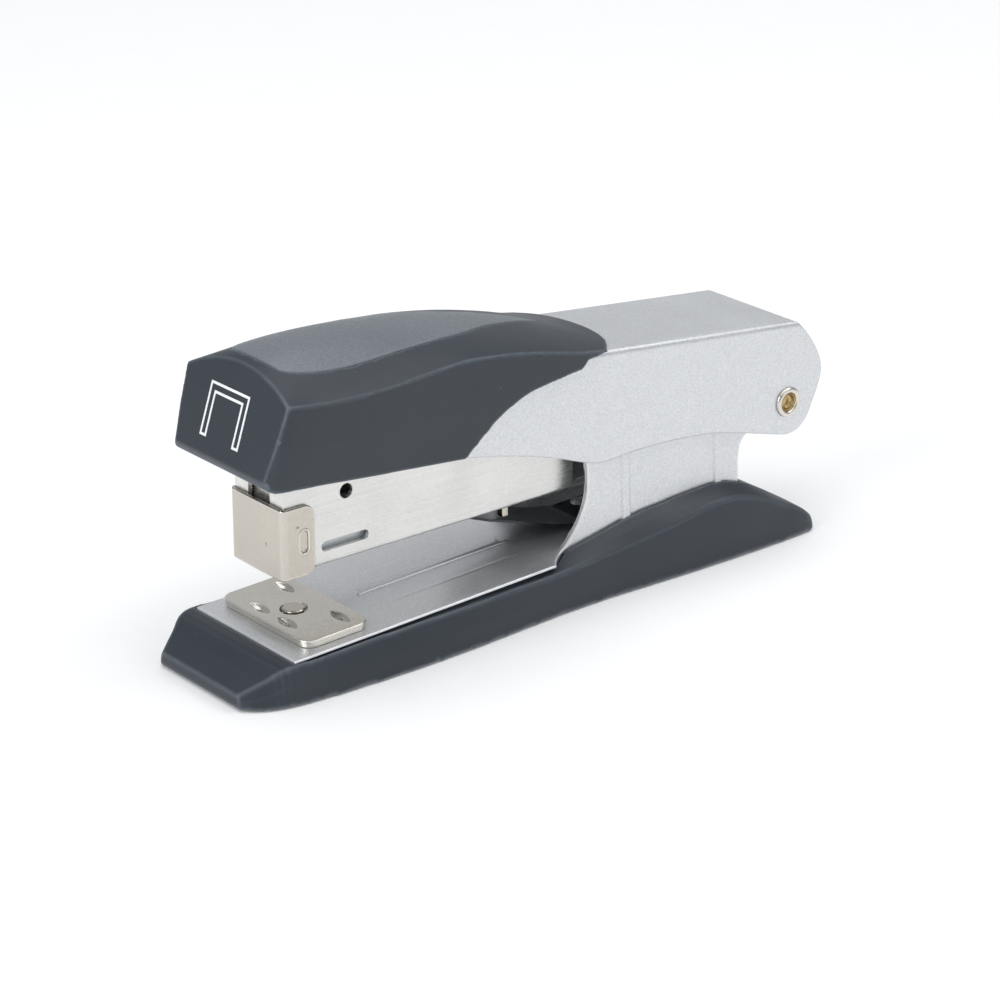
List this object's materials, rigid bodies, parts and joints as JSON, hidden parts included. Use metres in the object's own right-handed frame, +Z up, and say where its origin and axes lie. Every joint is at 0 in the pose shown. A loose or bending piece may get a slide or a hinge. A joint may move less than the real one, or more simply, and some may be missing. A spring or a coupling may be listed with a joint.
{
  "type": "desk stapler",
  "caption": "Full-strip desk stapler: a sloping steel handle with a moulded nose cap over a hinged magazine, a guarded nose, a turning anvil and a wide low base.",
  "frame": {"origin": "middle of the whole stapler's length and width, on the table", "axes": "+X runs from the nose to the tail, +Y across, towards the side that the picture doesn't show, +Z up"},
  "size_m": [0.1447, 0.038, 0.0635],
  "materials": {
    "dark_plastic": "fine matte, slate blue-grey",
    "inlay_plastic": "satin metallic grey",
    "silver_paint": "silver metallic paint with a fine sparkle",
    "zinc_steel": "bright zinc plating with faint streaks",
    "nickel": "warm nickel plating",
    "bracket_steel": "dull rolled steel",
    "spring_steel": "blued spring steel",
    "spring_wire": "drawn wire",
    "sole_rubber": "matte",
    "pusher_steel": "dull"
  },
  "bodies": {
    "base": {"sole": "sole_rubber", "base_cover": "dark_plastic", "base_plate": "silver_paint", "cover_screws": "zinc_steel", "pivot_rivet": "nickel", "pivot_spacers": "zinc_steel", "return_spring": "spring_steel", "return_spring_rivets": "zinc_steel", "anvil_spring": "spring_steel"},
    "anvil_lifter": {"anvil_button": "nickel"},
    "anvil": {"anvil_plate": "nickel", "anvil_backing": "nickel", "anvil_stud": "nickel"},
    "magazine": {"magazine": "zinc_steel", "nose_guard": "nickel", "staple_rail": "bracket_steel", "guide_rod": "zinc_steel", "magazine_bracket": "bracket_steel", "spring_foot": "nickel", "follower_spring": "spring_wire"},
    "pusher": {"pusher": "pusher_steel"},
    "handle": {"handle_channel": "silver_paint", "cap": "dark_plastic", "cap_inlay": "inlay_plastic", "driver_blade": "zinc_steel", "handle_spring": "spring_steel", "driver_rivets": "zinc_steel"}
  },
  "joints": [
    {"name": "magazine_hinge", "type": "hinge", "parent": "base", "child": "magazine", "pos_m": [0.06315, 0, 0.0285], "axis": [0, 1, 0], "range_deg": [-4, 0], "stiffness_Nm_per_rad": 2, "springref_deg": 8.59, "deforming": ["return_spring"]},
    {"name": "handle_hinge", "type": "hinge", "parent": "magazine", "child": "handle", "pos_m": [0.06315, 0, 0.0285], "axis": [0, 1, 0], "range_deg": [-4.1, 100], "stiffness_Nm_per_rad": 1.2, "springref_deg": 2.86, "deforming": ["handle_spring"]},
    {"name": "pusher_slide", "type": "slide", "parent": "magazine", "child": "pusher", "axis": [1, 0, 0], "range_m": [0, 0.054], "stiffness_N_per_m": 30, "springref_m": -0.05, "deforming": ["follower_spring"]},
    {"name": "anvil_lift", "type": "slide", "parent": "base", "child": "anvil_lifter", "axis": [-0.0372, 0, 0.9993], "range_m": [0, 0.001], "stiffness_N_per_m": 1500, "springref_m": -0.0015, "deforming": ["anvil_spring"]},
    {"name": "anvil_turn", "type": "hinge", "parent": "anvil_lifter", "child": "anvil", "pos_m": [-0.05056, 0, 0.00866], "axis": [-0.0372, 0, 0.9993], "range_deg": [0, 180]}
  ]
}
